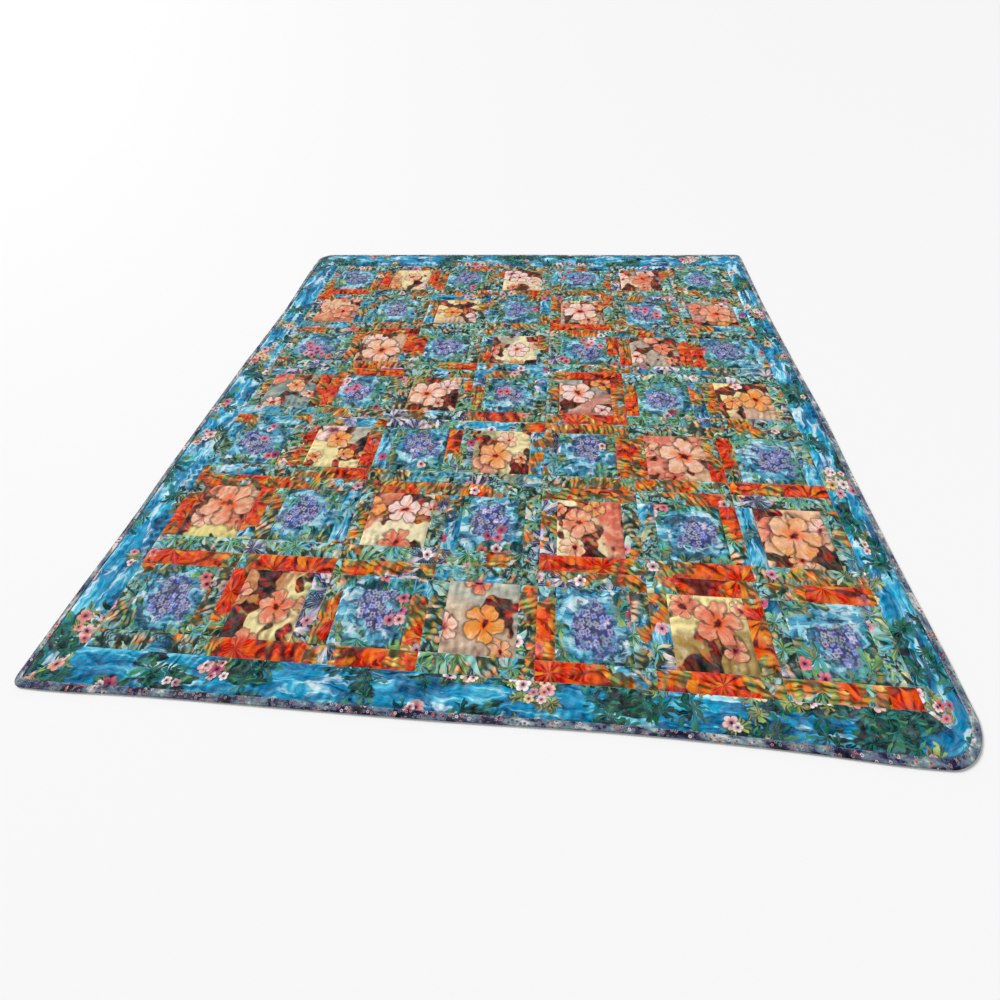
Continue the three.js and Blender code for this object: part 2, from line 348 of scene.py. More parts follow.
class Finish:
    # one material and the nodes that paint it
    def __init__(self, name, values):
        self.material = bpy.data.materials.new(name)
        self.material.use_nodes = True
        self.tree = self.material.node_tree
        self.shader = self.tree.nodes["Principled BSDF"]
        for socket, value in values.items():
            self.shader.inputs[socket].default_value = value

    def node(self, kind, sockets=(), output=0, **settings):
        given = sockets.items() if isinstance(sockets, dict) else enumerate(sockets)
        plain = {key: value.socket if isinstance(value, Shade) else value for key, value in given}
        return Shade(self, addNode(self.tree, "ShaderNode" + kind, plain, **settings)[output])

    def ramp(self, value, stops):
        shade = self.node("ValToRGB", [value])
        elements = shade.socket.node.color_ramp.elements
        while len(elements) < len(stops):
            elements.new(1.0)
        for element, (place, name) in zip(elements, stops):
            element.position = place
            element.color = dye(name)
        return shade

    def even(self, value, names):
        # steps evenly through the named dyes
        names = names.split()
        return self.ramp(value, [(i / (len(names) - 1), name) for i, name in enumerate(names)])

    def mix(self, factor, under, over):
        under, over = (dye(c) if isinstance(c, str) else c for c in (under, over))
        return self.node("Mix", {0: factor, 6: under, 7: over}, 2, data_type="RGBA")

    def vector(self, operation, one, other):
        return self.node("VectorMath", [one, other], operation=operation)

    def split(self, vector):
        x = self.node("SeparateXYZ", [vector])
        return x, x.other("Y"), x.other("Z")

    def join(self, x, y):
        return self.node("CombineXYZ", [x, y])

    def attribute(self, name):
        return self.node("Attribute", output="Vector", attribute_name=name)

    def noise(self, vector, scale, detail=2, rough=0.55, twist=0.0):
        if isinstance(scale, tuple):
            vector, scale = self.stretch(vector, *scale), 1
        sockets = {"Vector": vector, "Scale": scale, "Detail": detail, "Roughness": rough}
        sockets["Distortion"] = twist
        return self.node("TexNoise", sockets, noise_dimensions="2D")

    def stretch(self, vector, x, y):
        return self.vector("MULTIPLY", vector, (x, y, 0))

    def cells(self, vector, size):
        # the middle of the nearest of many scattered places, about one size apart
        sockets = {"Vector": vector, "Scale": 1 / size, "Randomness": 0.9}
        return self.node("TexVoronoi", sockets, "Position", voronoi_dimensions="2D")

    def polar(self, vector, middle=None):
        # how far away and at what angle
        if middle:
            vector = self.vector("SUBTRACT", vector, middle)
        x, y, _ = self.split(vector)
        return (x * x + y * y).calc("SQRT"), y.calc("ARCTAN2", x)

    def wobble(self, place, size, swing):
        # the unsteadiness of a brush: places drift by about swing, changing over about one size
        drift = self.vector("SUBTRACT", self.noise(place, 1 / size, 2).other("Color"), (0.5, 0.5, 0.5))
        return self.vector("ADD", place, self.stretch(drift, 3 * swing, 3 * swing))

    def turn(self, vector, angle):
        return self.node("VectorRotate", {"Vector": vector, "Angle": angle}, rotation_type="Z_AXIS")

    def deepen(self, colour, dark, light):
        # a stronger print: its darks drawn deeper and its lights paler
        tone = self.node("RGBToBW", [colour])
        colour = self.mix((1 - tone.rise(*clothLook["darkTones"])) * dark, colour, "ink")
        return self.mix(tone.rise(*clothLook["lightTones"]) * light, colour, "white")

    def feed(self, values):
        for socket, value in values.items():
            self.tree.links.new(value.socket, self.shader.inputs[socket])

    def weave(self, cloth, colour):
        # plain woven cotton: threads both ways, a little crinkled, with a faint unevenness of dye
        look = clothLook
        ways = self.split(cloth)[:2]
        warp, weft = ((way * (math.tau / look["thread"])).calc("SINE") for way in ways)
        crinkle = self.noise(cloth, look["crinkle"], 3, 0.6)
        height = crinkle * look["crinkleHeight"] + warp * weft * look["threadHeight"]
        normal = self.node("Bump", {"Strength": 1.0, "Distance": 0.001, "Height": height})
        faded = self.noise(cloth, look["fade"], 4, 0.65)
        colour = self.mix(faded.rise(0.35, 0.75) * look["fadeDepth"], colour, "white")
        colour = self.mix((1 - faded).rise(0.42, 0.75) * look["fadeDepth"], colour, "ink")
        rough = look["roughness"] + (crinkle - 0.5) * 0.2
        self.feed({"Base Color": colour, "Roughness": rough, "Normal": normal})
        return self.material


waterLook = {
    "stops": [
        (0.33, "night"), (0.4, "deepBlue"), (0.47, "ocean"),
        (0.55, "azure"), (0.63, "cyan"), (0.72, "foam"),
    ],
    "broad": (5, 9), "streak": (9, 36), "crest": (8, 30),  # waves to the metre along and across
    "brush": (0.06, 0.01),
}


def water(f, cloth, lift=0.0):
    # painted water: broad slanting brush strokes of blue with pale crests, and more of them with lift
    look = waterLook
    x, y, _ = f.split(f.wobble(cloth, *look["brush"]))
    slant = f.join(x + y * 0.9, y - x * 0.12)
    broad = f.noise(slant, look["broad"], 1)
    streak = f.noise(slant, look["streak"], 4, 0.64, 0.5)
    crest = f.noise(slant, look["crest"], 2, 0.5, 0.8)
    colour = f.ramp(streak * 0.72 + broad * 0.28 + lift * 0.5, look["stops"])
    foam = (crest + lift).rise(0.54, 0.66) * (streak + lift).rise(0.42, 0.6)
    return f.mix(foam * 0.8, colour, "foam")


def strokes(f, cloth, angle, length, width, colours, gap, light, depth=0.85, veins=None):
    # long pointed brush strokes side by side, each of its own dye with a light rib and a dark rim
    space = f.stretch(f.turn(cloth, angle), 1 / length, 1 / width)
    seat = f.cells(space, 1.0)
    tint = f.split(seat.other("Color"))[0]
    along, across, _ = f.split(f.vector("SUBTRACT", space, seat))
    colour = f.even(tint * 0.75 + along * 0.6 + 0.12, colours)
    if veins:
        # light veins that slant away from the rib on both sides
        ray = along * length - abs(across) * (width * 0.8) + f.noise(cloth, 30, 1) * veins["step"]
        vein = (ray * (math.tau / veins["step"])).calc("SINE")
        colour = f.mix(vein.rise(0.0, 0.9) * veins["share"], colour, veins["dye"])
    fromRib = seat.other("Distance")
    colour = f.mix((1 - fromRib.rise(0.03, 0.24)) * 0.55 * tint.rise(0.2, 0.9), colour, light)
    return f.mix(fromRib.rise(0.26, 0.62) * depth, colour, gap)


def fans(f, cloth, size, blades, colours, rib, gap, reach=0.72, curl=1.2):
    # leaves that spread from scattered stems: pointed blades with a rib and a dark gap
    stem = f.cells(cloth, size)
    chance = f.split(stem.other("Color"))
    away, turn = f.polar(cloth, stem)
    away = away / size
    blade = (turn + away * (chance[2] - 0.5) * curl) * (blades / math.tau) + chance[0] * blades
    which = blade.calc("FLOOR")
    across = abs(blade - which - 0.5) * 2
    which = which.calc("FLOORED_MODULO", blades)
    tint = f.node("TexWhiteNoise", {"Vector": f.join(which, chance[1] * 57)}, noise_dimensions="2D")
    length = reach * (0.62 + 0.5 * tint)
    width = 1 - (away / length) ** 2
    mask = (width - across).rise(0.0, 0.16)
    colour = f.even(tint * 0.8 + away * 0.35, colours)
    colour = f.mix(across.rise(0.42, 0.95) * 0.85, colour, gap)
    colour = f.mix((1 - across.rise(0.03, 0.22)) * 0.55, colour, rib)
    return colour, mask, stem


def blooms(f, ground, cloth, size, reach, share, colours, throat, bed=None, shown=None):
    # open five-petalled flowers with a dark throat over the ground; bed keeps them to clusters
    seat = f.cells(cloth, size)
    chance = f.split(seat.other("Color"))
    away, turn = f.polar(cloth, seat)
    away = away / size
    turn = turn + chance[1] * math.tau
    lobe = abs((turn * 2.5).calc("COSINE"))
    rim = (lobe ** 0.55 * 0.4 + 0.6) * reach
    mask = (rim - away).rise(0.0, 0.04) * (chance[0] < share)
    if bed:
        mask = mask * (f.noise(seat, bed["scale"], 1) > bed["least"])
    inward = away / rim
    colour = f.even(chance[2], colours)
    colour = f.mix((1 - inward.rise(0.25, 0.7)) * 0.7, colour, throat)
    colour = f.mix((1 - lobe.rise(0.05, 0.4)) * inward.rise(0.2, 0.6) * 0.6, colour, throat)
    colour = f.mix(inward.rise(0.86, 1.0) * 0.35, colour, throat)
    colour = f.mix(1 - inward.rise(0.16, 0.3), colour, "plum")
    return f.mix(mask * shown if shown else mask, ground, colour)


# in each look, brush is the size and swing of its unsteadiness and shows says where a motif comes in
pondGreens = "deepGreen teal khaki green lagoon leaf lime"
flowerLook = {
    "brush": (0.045, 0.014),
    "bank": dict(length=0.06, width=0.011, colours=pondGreens, gap="deepTeal", light="cyan"),
    "leaves": dict(size=0.07, blades=9, colours=pondGreens, rib="leaf", gap="deepGreen"),
    "shows": {"bank": (0.8, 0.86), "leaves": (0.8, 0.83)},
    "headReach": 0.6, "floret": 0.0165,
    "florets": "indigo violet periwinkle slate mauve periwinkle bluebell lilac blush",
    "blooms": dict(
        size=0.038, reach=0.5, share=0.85, throat="magenta",
        colours="blush coral pink magenta blush",
        bed={"scale": (6, 6), "least": 0.645},
    ),
    "deepen": (0.4, 0.13),
}


def flowerSquareFinish():
    # a ragged round head of small blue and lilac florets over bright water
    f, look = Finish("flowerPrint", cotton), flowerLook
    shows = look["shows"]
    cloth, local = f.attribute("cloth"), f.attribute("local")
    cut = f.split(f.attribute("cut"))
    middle = f.join(cut[0] * 0.4 - 0.2, cut[1] * 0.36 - 0.14)
    reachOut, turn = f.polar(f.wobble(local, 0.4, 0.1), middle)
    ragged = f.noise(cloth, 34, 3, 0.6)
    colour = f.mix(0.25, water(f, cloth), "slate")
    # brushed arcs of light and shade round the head
    arcs = (reachOut * 13 + ragged * 9 + (turn + cut[2] * 6).calc("COSINE") * 1.6).calc("SINE")
    sweep = f.noise(f.vector("ADD", local, f.attribute("cut")), 1.6, 1)
    crest = f.mix(ragged.rise(0.45, 0.62), "cyan", "foam")
    colour = f.mix(arcs.rise(0.0, 0.9) * sweep.rise(0.42, 0.54) * 0.85, colour, crest)
    colour = f.mix((0 - arcs).rise(0.2, 0.95) * (1 - sweep).rise(0.44, 0.58) * 0.7, colour, "night")
    # green banks and leaves towards the corners
    away, _ = f.polar(local)
    brushed = f.wobble(cloth, *look["brush"])
    bank = strokes(f, brushed, cut[1] * 3, **look["bank"])
    colour = f.mix((f.noise(cloth, 11, 2) + away * 0.3).rise(*shows["bank"]), colour, bank)
    leafColour, leafMask, stem = fans(f, brushed, **look["leaves"])
    grown = (f.noise(stem, 12, 1) + away * 0.34).rise(*shows["leaves"])
    colour = f.mix(leafMask * grown, colour, leafColour)
    # the head fades into the water at its ragged edge
    lobed = f.noise(cloth, 13, 1) - 0.5 + (ragged - 0.5) * 0.8
    head = (look["headReach"] + lobed - reachOut).rise(-0.04, 0.12)
    seat = f.cells(f.wobble(cloth, 0.02, 0.0015), look["floret"])
    chance = f.split(seat.other("Color"))
    near, twist = f.polar(cloth, seat)
    petal = abs((twist * 2 + chance[0] * 6).calc("COSINE")) ** 0.5
    inside = near / look["floret"] / (petal * 0.4 + 0.3)
    floret = f.even(f.noise(cloth, 24, 3) * 1.7 + chance[1] * 0.35 - 0.52, look["florets"])
    floret = f.mix(inside.rise(0.6, 1.05) * 0.75, floret, "indigo")
    floret = f.mix((1 - abs(inside - 0.55).rise(0.0, 0.3)) * 0.45 * chance[2], floret, "blush")
    floret = f.mix((1 - inside.rise(0.08, 0.26)) * 0.6, floret, "violet")
    floret = f.mix(reachOut.rise(0.35, 0.75) * 0.3, floret, "ocean")
    colour = f.mix(head, colour, floret)
    colour = blooms(f, colour, cloth, **look["blooms"])
    return f.weave(cloth, f.deepen(colour, *look["deepen"]))


blossomLook = {
    "brush": (0.05, 0.016),
    "pale": "cream yellow cream peach slate",
    "dusky": "slate khaki coral lagoon peach slate",
    "bank": dict(
        length=0.085, width=0.015, gap="ink", light="coral",
        colours="maroon deepRed brown deepGreen red khaki orange",
    ),
    "shows": {"bank": (0.52, 0.56)},
    # each blossom by x, y and size in half squares, its petals and its throat
    "blossoms": [
        (0.7, -0.44, 0.4, 6, "coral"), (-0.64, -0.58, 0.34, 5, "red"),
        (-0.42, 0.66, 0.46, 4, "magenta"), (0.02, 0.02, 0.62, 5, "orange"),
    ],
    "petals": "cream peach coral peach blush peach amber peach",
}


def blossomSquareFinish():
    # big soft blossoms in cream, peach and coral with maroon leaf strokes on pale grounds
    f, look = Finish("blossomPrint", cotton), blossomLook
    cloth = f.attribute("cloth")
    cut = f.split(f.attribute("cut"))
    local = f.wobble(f.turn(f.attribute("local"), cut[0] * 25), 0.5, 0.13)
    mottle = f.noise(cloth, 26, 4, 0.6)
    across = f.split(local)[1]
    pale = f.even((cut[1] * 7.3).calc("FRACT"), look["pale"])
    dusky = f.even((cut[2] * 5.1).calc("FRACT"), look["dusky"])
    colour = f.mix((across + cut[2] - 0.5 + (mottle - 0.5) * 0.8).rise(-0.12, 0.12), pale, dusky)
    colour = f.mix(mottle.rise(0.48, 0.75) * 0.5, colour, "cream")
    colour = f.mix((1 - mottle).rise(0.5, 0.75) * 0.4, colour, "brown")
    brushed = f.wobble(cloth, *look["brush"])
    bank = strokes(f, brushed, cut[0] * 9, **look["bank"])
    grown = f.noise(f.vector("ADD", cloth, (3.1, 0.7, 0)), 9, 2)
    colour = f.mix(grown.rise(*look["shows"]["bank"]), colour, bank)
    for number, (x, y, size, petals, throat) in enumerate(look["blossoms"]):
        one, two, three = (cut[(number + step) % 3] for step in range(3))
        seat = f.join(one * 0.6 - 0.3 + x, two * 0.6 - 0.3 + y)
        away, turn = f.polar(local, seat)
        turn = turn + three * 9 + number
        lobe = abs((turn * (petals / 2)).calc("COSINE"))
        rim = (lobe ** 0.5 * 0.4 + 0.6) * (0.62 + 0.76 * three) * size
        inward = away / rim
        choice = (two * 3.3 + number * 0.37).calc("FRACT") * 0.8 + mottle * 0.4 - 0.1
        petal = f.even(choice, look["petals"])
        vein = f.noise(f.join(turn * 2.6, inward * 0.7), 2.2, 3, 0.6)
        petal = f.mix(vein.rise(0.5, 0.72) * 0.55, petal, "coral")
        petal = f.mix((1 - vein).rise(0.5, 0.75) * inward.rise(0.4, 0.9) * 0.6, petal, "cream")
        petal = f.mix((1 - lobe.rise(0.05, 0.45)) * inward.rise(0.15, 0.5) * 0.8, petal, "brown")
        petal = f.mix((1 - inward.rise(0.12, 0.55)) * 0.9, petal, throat)
        petal = f.mix(1 - inward.rise(0.1, 0.28), petal, "maroon")
        # a soft brown shade round the blossom, then the blossom itself
        colour = f.mix((1 - (inward - 1).rise(0.0, 0.28)) * 0.75, colour, "brown")
        colour = f.mix(1 - (inward - 1).rise(-0.04, 0.05), colour, petal)
    return f.weave(cloth, colour)


leafLook = {
    "brush": (0.055, 0.009), "steadyBrush": (0.06, 0.007),
    "ferns": dict(
        length=0.07, width=0.018, gap="deepGreen", light="cyan", depth=0.95,
        colours="ink teal deepGreen lagoon brown cyan leaf slate green slate lime",
        veins={"step": 0.012, "share": 0.35, "dye": "foam"},
    ),
    "moss": dict(
        length=0.06, width=0.014, gap="deepGreen", light="yellow",
        colours="brown khaki slate gold green slate peach orange yellow",
    ),
    "fronds": dict(rib="lime", gap="deepGreen", colours="deepGreen green leaf azure leaf cyan yellow"),
    "frondSizes": [(0.12, 11, 0.51), (0.062, 9, 0.52)],  # size, blades and the least chance that shows one
    "plumFans": dict(
        size=0.088, blades=12, rib="lilac", gap="ink", reach=0.95, curl=0.4,
        colours="plum indigo violet plum lilac blush deepBlue",
    ),
    "embers": dict(
        length=0.11, width=0.028, gap="maroon", light="amber", depth=0.95,
        colours="deepRed red orange red red orange red amber",
        veins={"step": 0.016, "share": 0.65, "dye": "orange"},
    ),
    "grass": dict(
        length=0.08, width=0.0125, gap="deepGreen", light="yellow",
        colours="brown orange khaki orange amber leaf orange yellow",
    ),
    "bursts": dict(
        size=0.118, blades=11, rib="orange", gap="ink", reach=0.95, curl=0.9,
        colours="deepRed red red orange red red amber red orange",
    ),
    "blooms": dict(
        size=0.042, reach=0.46, share=0.6, throat="magenta",
        colours="white blush pink magenta white",
        bed={"scale": (9, 9), "least": 0.65},
    ),
    "shows": {
        "moss": (0.46, 0.53), "pool": (0.61, 0.67), "plumFan": 0.66,
        "grass": (0.58, 0.61), "embers": (0.7, 0.725), "burst": 0.4,
    },
    "deepen": (0.48, 0.15),
}


def stripFinish():
    # crowded ferns and moss with pools of water, plum fans, gold grass and red croton leaves
    f, look = Finish("leafPrint", cotton), leafLook
    shows = look["shows"]
    cloth = f.attribute("cloth")
    cut = f.split(f.attribute("cut"))
    hot, plum, wet = f.split(f.attribute("mood"))
    brushed = f.wobble(cloth, *look["brush"])
    slope = (cut[0] - 0.5) * 2.4
    ragged = f.noise(cloth, (26, 40), 3, 0.6, 0.6)
    colour = strokes(f, brushed, slope, **look["ferns"])
    moss = strokes(f, brushed, slope + 1.3, **look["moss"])
    colour = f.mix((f.noise(cloth, 8, 2) + (ragged - 0.5) * 0.3).rise(*shows["moss"]), colour, moss)
    pool = f.noise(f.vector("ADD", cloth, (1.3, 4.1, 0)), 6, 1) + (ragged - 0.5) * 0.35
    colour = f.mix((wet * 0.18 + pool).rise(*shows["pool"]), colour, water(f, cloth))
    for size, blades, least in look["frondSizes"]:
        leafColour, leafMask, stem = fans(f, brushed, size, blades, **look["fronds"])
        grown = f.noise(stem, 11, 1) > least
        colour = f.mix(leafMask * grown * (1 - wet * 0.5), colour, leafColour)
    plumColour, plumMask, stem = fans(f, brushed, **look["plumFans"])
    fan = plum * 0.2 + f.noise(f.vector("ADD", stem, (5.2, 8.3, 0)), 8, 1)
    colour = f.mix(plumMask * (fan > shows["plumFan"]), colour, plumColour)
    colour = f.deepen(colour, *look["deepen"])
    # red croton leaves grow out of gold grass where the strip is hot
    steady = f.wobble(cloth, *look["steadyBrush"])
    embers = strokes(f, steady, slope + 0.5, **look["embers"])
    grass = strokes(f, brushed, slope + 0.9, **look["grass"])
    heat = hot * 0.3 + f.noise(cloth, 6.5, 2) + (ragged - 0.5) * 0.22
    colour = f.mix(heat.rise(*shows["grass"]), colour, grass)
    burstColour, burstMask, stem = fans(f, steady, **look["bursts"])
    burst = f.noise(stem, 9, 1) > shows["burst"]
    embers = f.mix(burstMask * burst, embers, burstColour)
    colour = f.mix(heat.rise(*shows["embers"]), colour, embers)
    return f.weave(cloth, blooms(f, colour, cloth, shown=1 - hot * 0.9, **look["blooms"]))


palmGreens = "deepGreen green deepTeal ink teal leaf"
shoreLook = {
    "brush": (0.045, 0.014),
    "bank": dict(length=0.055, width=0.0105, colours=palmGreens, gap="ink", light="leaf"),
    "palms": dict(blades=9, colours=palmGreens, rib="green", gap="ink", reach=0.66, curl=2.2),
    "palmSizes": [(0.1, 0.51), (0.058, 0.53)],  # size and the least chance that shows one
    "sprays": dict(
        size=0.044, blades=9, rib="lime", gap="ink", reach=0.9,
        colours="green lime deepGreen khaki plum",
    ),
    "flowers": dict(
        reach=0.47, throat="magenta",
        colours="white blush coral white pink yellow blush magenta",
        bed={"scale": (6, 12), "least": 0.645},
    ),
    "flowerSizes": [(0.046, 0.9), (0.029, 0.6)],  # size and the share of places that hold one
    "shows": {"bank": (0.56, 0.6), "sprays": 0.62},
}


def borderFinish():
    # water with palm tufts and clusters of flowers
    f, look = Finish("shorePrint", cotton), shoreLook
    shows = look["shows"]
    cloth = f.attribute("cloth")
    palmShare, foamLift, _ = f.split(f.attribute("mood"))
    brushed = f.wobble(cloth, *look["brush"])
    colour = water(f, cloth, foamLift)
    bank = strokes(f, brushed, 0.4, **look["bank"])
    shore = f.noise(cloth, (5, 12), 3, 0.6)
    colour = f.mix((shore + palmShare).rise(*shows["bank"]), colour, bank)
    for size, least in look["palmSizes"]:
        palmColour, palmMask, stem = fans(f, brushed, size, **look["palms"])
        grove = f.noise(stem, (5, 12), 1) + palmShare > least
        colour = f.mix(palmMask * grove, colour, palmColour)
    leafColour, leafMask, stem = fans(f, brushed, **look["sprays"])
    nearBed = f.noise(stem, look["flowers"]["bed"]["scale"], 1)
    colour = f.mix(leafMask * (nearBed > shows["sprays"]), colour, leafColour)
    for size, share in look["flowerSizes"]:
        colour = blooms(f, colour, cloth, size, share=share, **look["flowers"])
    return f.weave(cloth, colour)


sprigLook = {
    "stops": [(0.35, "ink"), (0.44, "plum"), (0.51, "dusk"), (0.6, "slate"), (0.74, "blush")],
    "sprigs": dict(
        size=0.0095, reach=0.46, share=0.5, throat="plum",
        colours="blush mauve slate coral slate dusk",
    ),
}


def bindingFinish():
    # a narrow greyed blue and mauve cotton, mottled, with a small close print
    f, look = Finish("sprigPrint", cotton), sprigLook
    cloth = f.attribute("cloth")
    # the lengths other than the front one are drawn paler: painted shade on the front
    pale = f.split(f.attribute("mood"))[0]
    colour = f.ramp(f.noise(cloth, (14, 30), 4, 0.65) + pale, look["stops"])
    return f.weave(cloth, blooms(f, colour, cloth, **look["sprigs"]))


def backingFinish():
    # the plain blue cotton of the underside
    f = Finish("backingCotton", cotton)
    cloth = f.node("TexCoord", output="Object")
    colour = f.mix(f.noise(cloth, 6, 3), "ocean", "slate")
    return f.weave(cloth, colour)


threadLook = {
    "dyes": "slate lagoon lilac slate", "twist": 2600, "twistDepth": 0.0002,
    "gloss": {"Specular IOR Level": 0.3, "Sheen Weight": 0.2},
}


def threadFinish():
    # twisted sewing thread
    f, look = Finish("sewingThread", threadLook["gloss"]), threadLook
    place = f.node("TexCoord", output="Object")
    colour = f.even(f.noise(place, 20, 2), look["dyes"])
    twist = {"Strength": 0.5, "Distance": look["twistDepth"], "Height": f.noise(place, look["twist"], 1)}
    normal = f.node("Bump", twist)
    f.feed({"Base Color": colour, "Normal": normal})
    return f.material


flowerPrint, blossomPrint = flowerSquareFinish(), blossomSquareFinish()
leafPrint, shorePrint = stripFinish(), borderFinish()
sprigPrint, backingCotton, sewingThread = bindingFinish(), backingFinish(), threadFinish()
print("prints ready")

squareShape = {"loft": 0.0058, "rise": 0.062, "grid": 0.0043}
stripShape = {"loft": 0.0036, "rise": 0.0255, "grid": 0.0046}
# strips cut from the red, plum and gold leaves, by edge of the block: (column, row) from the front left one
crotonStrips = {
    "left": [
        (1, 0), (2, 0), (4, 0), (0, 1), (1, 2), (5, 2),
        (6, 2), (1, 3), (5, 3), (6, 4), (4, 5), (1, 6),
    ],
    "right": [
        (5, 0), (0, 1), (5, 1), (1, 2), (2, 2), (4, 2), (5, 2),
        (0, 3), (4, 3), (1, 4), (4, 4), (5, 4), (1, 6),
    ],
    "front": [
        (1, 0), (2, 0), (4, 0), (5, 0), (6, 0), (4, 1), (5, 1),
        (1, 2), (6, 2), (3, 3), (4, 3), (4, 5), (0, 6),
    ],
    "back": [(0, 0), (1, 0), (5, 0), (6, 0), (4, 3)],
}
plumStrips = {
    "left": [(5, 0), (6, 0), (4, 1), (6, 6), (3, 3)],
    "right": [(1, 0), (6, 0), (3, 1), (2, 5)],
    "front": [(3, 1), (5, 4), (2, 3)],
    "back": [(4, 0), (2, 2), (5, 5), (0, 4)],
}
goldStrips = {
    "left": [(4, 3), (1, 4), (2, 4), (5, 4), (2, 6)],
    "right": [(0, 0), (5, 6)],
    "front": [(2, 4), (1, 5)],
    "back": [(0, 1), (4, 1), (5, 1), (4, 2), (1, 3), (1, 4), (0, 5)],
}
goldHeat = 0.6  # of the red strips' warmth
wetShare = 0.4  # of the other strips show water
cutting = {
    "phases": 20,  # spread of the chances that set its gathers
    "clothReach": 4,  # a patch comes from anywhere in so many metres of cloth
    "hotReach": 1.45, "hotDrift": 1.2,  # of the red in a strip, in half lengths of the strip
}


def cutPatch(rect, shape, upright=False, mood=(0, 0, 0)):
    # one patch: its padded face and its own place in the printed cloth
    phases = dice.random(4) * cutting["phases"]
    cut = dice.random(3)
    shift = dice.random(2) * cutting["clothReach"]
    x0, x1, y0, y1 = rect
    gap = quilt["seamGap"]
    lines = [
        np.linspace(low + gap, high - gap, max(6, round((high - low) / shape["grid"])) + 1)
        for low, high in ((x0, x1), (y0, y1))
    ]
    x, y = np.meshgrid(*lines, indexing="ij")
    top = spread(x, y, patchHeight(x, y, rect, shape, phases))
    along, across = x - x0, y - y0
    localX, localY = 2 * along / (x1 - x0) - 1, 2 * across / (y1 - y0) - 1
    if upright:
        along, across = across, along
    # a red strip is reddest at one place and cools towards its ends
    fromReddest = (localY if upright else localX) - cutting["hotDrift"] * (cut[2] - 0.5)
    cooling = np.clip(cutting["hotReach"] - np.abs(fromReddest), 0, 1)
    values = {
        "cloth": spread(along + shift[0], across + shift[1], 0.0),
        "local": spread(localX, localY, 0.0),
        "cut": cut,
        "mood": spread(mood[0] * cooling, mood[1], mood[2]),
    }
    return {"top": top, "floors": (0.0, 0.0), "values": values}


def stripMood(col, row, edge):
    # how hot, plum and wet the print of a strip is
    if (col, row) in crotonStrips[edge]:
        return (1.0, 0.0, 0.0)
    if (col, row) in plumStrips[edge]:
        return (0.0, 1.0, 0.0)
    wet = float(dice.random() < wetShare)
    if (col, row) in goldStrips[edge]:
        return (goldHeat, 0.0, 0.0)
    return (0.0, 0.0, wet)


blockPlaces = [(col, row) for row in range(blocks) for col in range(blocks)]
flowerPatches, blossomPatches, crossPatches, uprightPatches = [], [], [], []
for col, row in blockPlaces:
    left, front = col * block - halfField, row * block - halfField
    right, back = left + block, front + block
    inL, inR = left + strip, right - strip
    inF, inB = front + strip, back - strip
    pile = flowerPatches if (col + row) % 2 == 0 else blossomPatches
    pile.append(cutPatch((inL, inR, inF, inB), squareShape))
    for edge, rect in (("front", (left, right, front, inF)), ("back", (left, right, inB, back))):
        crossPatches.append(cutPatch(rect, stripShape, False, stripMood(col, row, edge)))
    for edge, rect in (("left", (left, inL, inF, inB)), ("right", (inR, right, inF, inB))):
        uprightPatches.append(cutPatch(rect, stripShape, True, stripMood(col, row, edge)))

# patches of one print make one piece; each is cut from cloth of this width and length
fieldCuts = {
    "flower_squares": (flowerPatches, flowerPrint, square, square),
    "blossom_squares": (blossomPatches, blossomPrint, square, square),
    "cross_strips": (crossPatches, leafPrint, strip, block),
    "upright_strips": (uprightPatches, leafPrint, strip, square),
}
fieldPieces, flatSizes = {}, {}
for name, (patches, printed, width, length) in fieldCuts.items():
    fieldPieces[name] = sewTogether(name, patches, [printed, backingCotton])
    flatSizes[name] = (width, length * len(patches))
print("field sewn:", len(flowerPatches + blossomPatches), "squares,", 2 * len(crossPatches), "strips")

borderShape = {
    "loft": 0.0044, "rise": 0.044, "mitreLoft": 0.4, "mitreRise": 0.04, "crumple": 1.3, "waveSize": 0.11,
    "steps": 470, "lines": 24, "tuck": 0.006, "tuckHeight": 0.0043, "tuckFloor": 0.0016, "endGap": 0.0002,
    "grove": (0.3, 0.8),  # the share of a side over which its last palms come in
    "clothReach": 9,  # a strip comes from anywhere in so many metres of cloth
}
# where each strip was cut from the printed cloth: its palms, those at the end of its run and its foam
borderCuts = {
    "front": (0.03, 0.06, -0.01),
    "right": (-0.02, 0.0, 0.02),
    "back": (-0.02, 0.0, 0.02),
    "left": (-0.04, 0.0, 0.03),
}


def borderTop(side, phases):
    # the grid runs along the side and comes in from under the binding to the blocks
    shape = borderShape
    v = np.linspace(border, quilt["seamGap"], shape["lines"])
    v = np.concatenate([[border + shape["tuck"]], v])
    share, along, x, y = sideGrid(side, halfField + v, shape)
    fromMitre = (1 - np.abs(share)) * (halfField + v) / math.sqrt(2)
    inner = np.clip(np.minimum(v, border - v), 0, None)
    mitre = shape["mitreLoft"] + (1 - shape["mitreLoft"]) * puff(fromMitre, shape["mitreRise"])
    height = seam + shape["loft"] * puff(inner, shape["rise"]) * mitre
    gathers = gather(v, along, phases[0]) + gather(inner, along, phases[1])
    crumple = softNoise(x, y, pucker["crumpleSize"], phases[2])
    crumple = crumple + softNoise(along, v, shape["waveSize"], phases[3])
    calm = puff(np.minimum(inner, fromMitre), pucker["calm"])
    relief = pucker["height"] * gathers + shape["crumple"] * pucker["crumple"] * crumple
    height = height + calm * relief + sway(x, y)
    height = np.where(v > border, shape["tuckHeight"], height)
    x, y = settle(x, y)
    cloth = spread(along + phases[0], v + phases[1], 0.0)
    return spread(x, y, height), cloth


